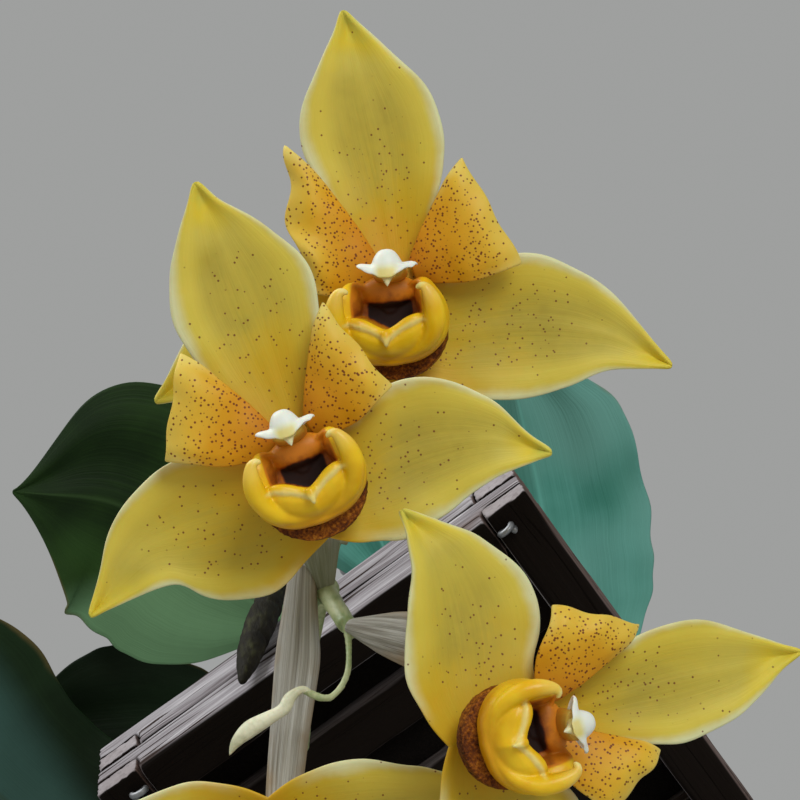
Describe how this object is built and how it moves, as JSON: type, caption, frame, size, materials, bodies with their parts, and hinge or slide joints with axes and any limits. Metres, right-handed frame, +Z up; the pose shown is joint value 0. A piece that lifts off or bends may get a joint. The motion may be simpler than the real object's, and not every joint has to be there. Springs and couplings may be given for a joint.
{
  "type": "hanging basket orchid",
  "caption": "Orchid in flower in a hanging basket of wooden slats; the flower stem hangs out below with open blooms.",
  "frame": {"origin": "top of the inside of the hook's bow, where the bar carries it", "axes": "+Z up; -Y towards the front, where the flower stem hangs out; +X to the right seen from the front"},
  "size_m": [0.3242, 0.4159, 0.5315],
  "materials": {
    "wood": "weathered, unvarnished",
    "wire": "galvanised, dull",
    "moss": "damp sphagnum moss",
    "bulb": "smooth and ribbed",
    "leaf": "leathery, pleated",
    "shoot": "dry and rough",
    "stem": "smooth living stem",
    "sepal": "waxy",
    "petal": "waxy, with dark red spots",
    "lip": "wet-looking wax",
    "pouch": "warty",
    "column": "waxy",
    "bract": "dry and papery, streaked",
    "bud": "pale, small and unopened"
  },
  "bodies": {
    "root": {"slat_1_front": "wood", "slat_1_left": "wood", "slat_1_back": "wood", "slat_1_right": "wood", "slat_2_front": "wood", "slat_2_left": "wood", "slat_2_back": "wood", "slat_2_right": "wood", "bottom_slat_1": "wood", "bottom_slat_2": "wood", "bottom_slat_3": "wood", "bottom_slat_4": "wood", "wire_front_left": "wire", "wire_front_right": "wire", "wire_back_right": "wire", "wire_back_left": "wire", "hook": "wire", "bulbs": "bulb", "leaf_front_left": "leaf", "leaf_right": "leaf", "leaf_left": "leaf", "leaf_left_back": "leaf", "leaf_front": "leaf", "leaf_back": "leaf", "leaf_back_left": "leaf", "moss": "moss", "old_shoot": "shoot", "bloom_1_sepals": "sepal", "bloom_1_petal_left": "petal", "bloom_1_petal_right": "petal", "bloom_1_lip": "lip", "bloom_1_pouch": "pouch", "bloom_1_column": "column", "bloom_1_bract": "bract", "bloom_2_sepals": "sepal", "bloom_2_petal_left": "petal", "bloom_2_petal_right": "petal", "bloom_2_lip": "lip", "bloom_2_pouch": "pouch", "bloom_2_column": "column", "bloom_2_bract": "bract", "bloom_3_sepals": "sepal", "bloom_3_petal_left": "petal", "bloom_3_petal_right": "petal", "bloom_3_lip": "lip", "bloom_3_pouch": "pouch", "bloom_3_column": "column", "bloom_3_bract": "bract", "bloom_4_sepals": "sepal", "bloom_4_petal_left": "petal", "bloom_4_petal_right": "petal", "bloom_4_lip": "lip", "bloom_4_pouch": "pouch", "bloom_4_column": "column", "bloom_4_bract": "bract", "flower_stem": "stem", "bud": "bud"}
  },
  "joints": []
}
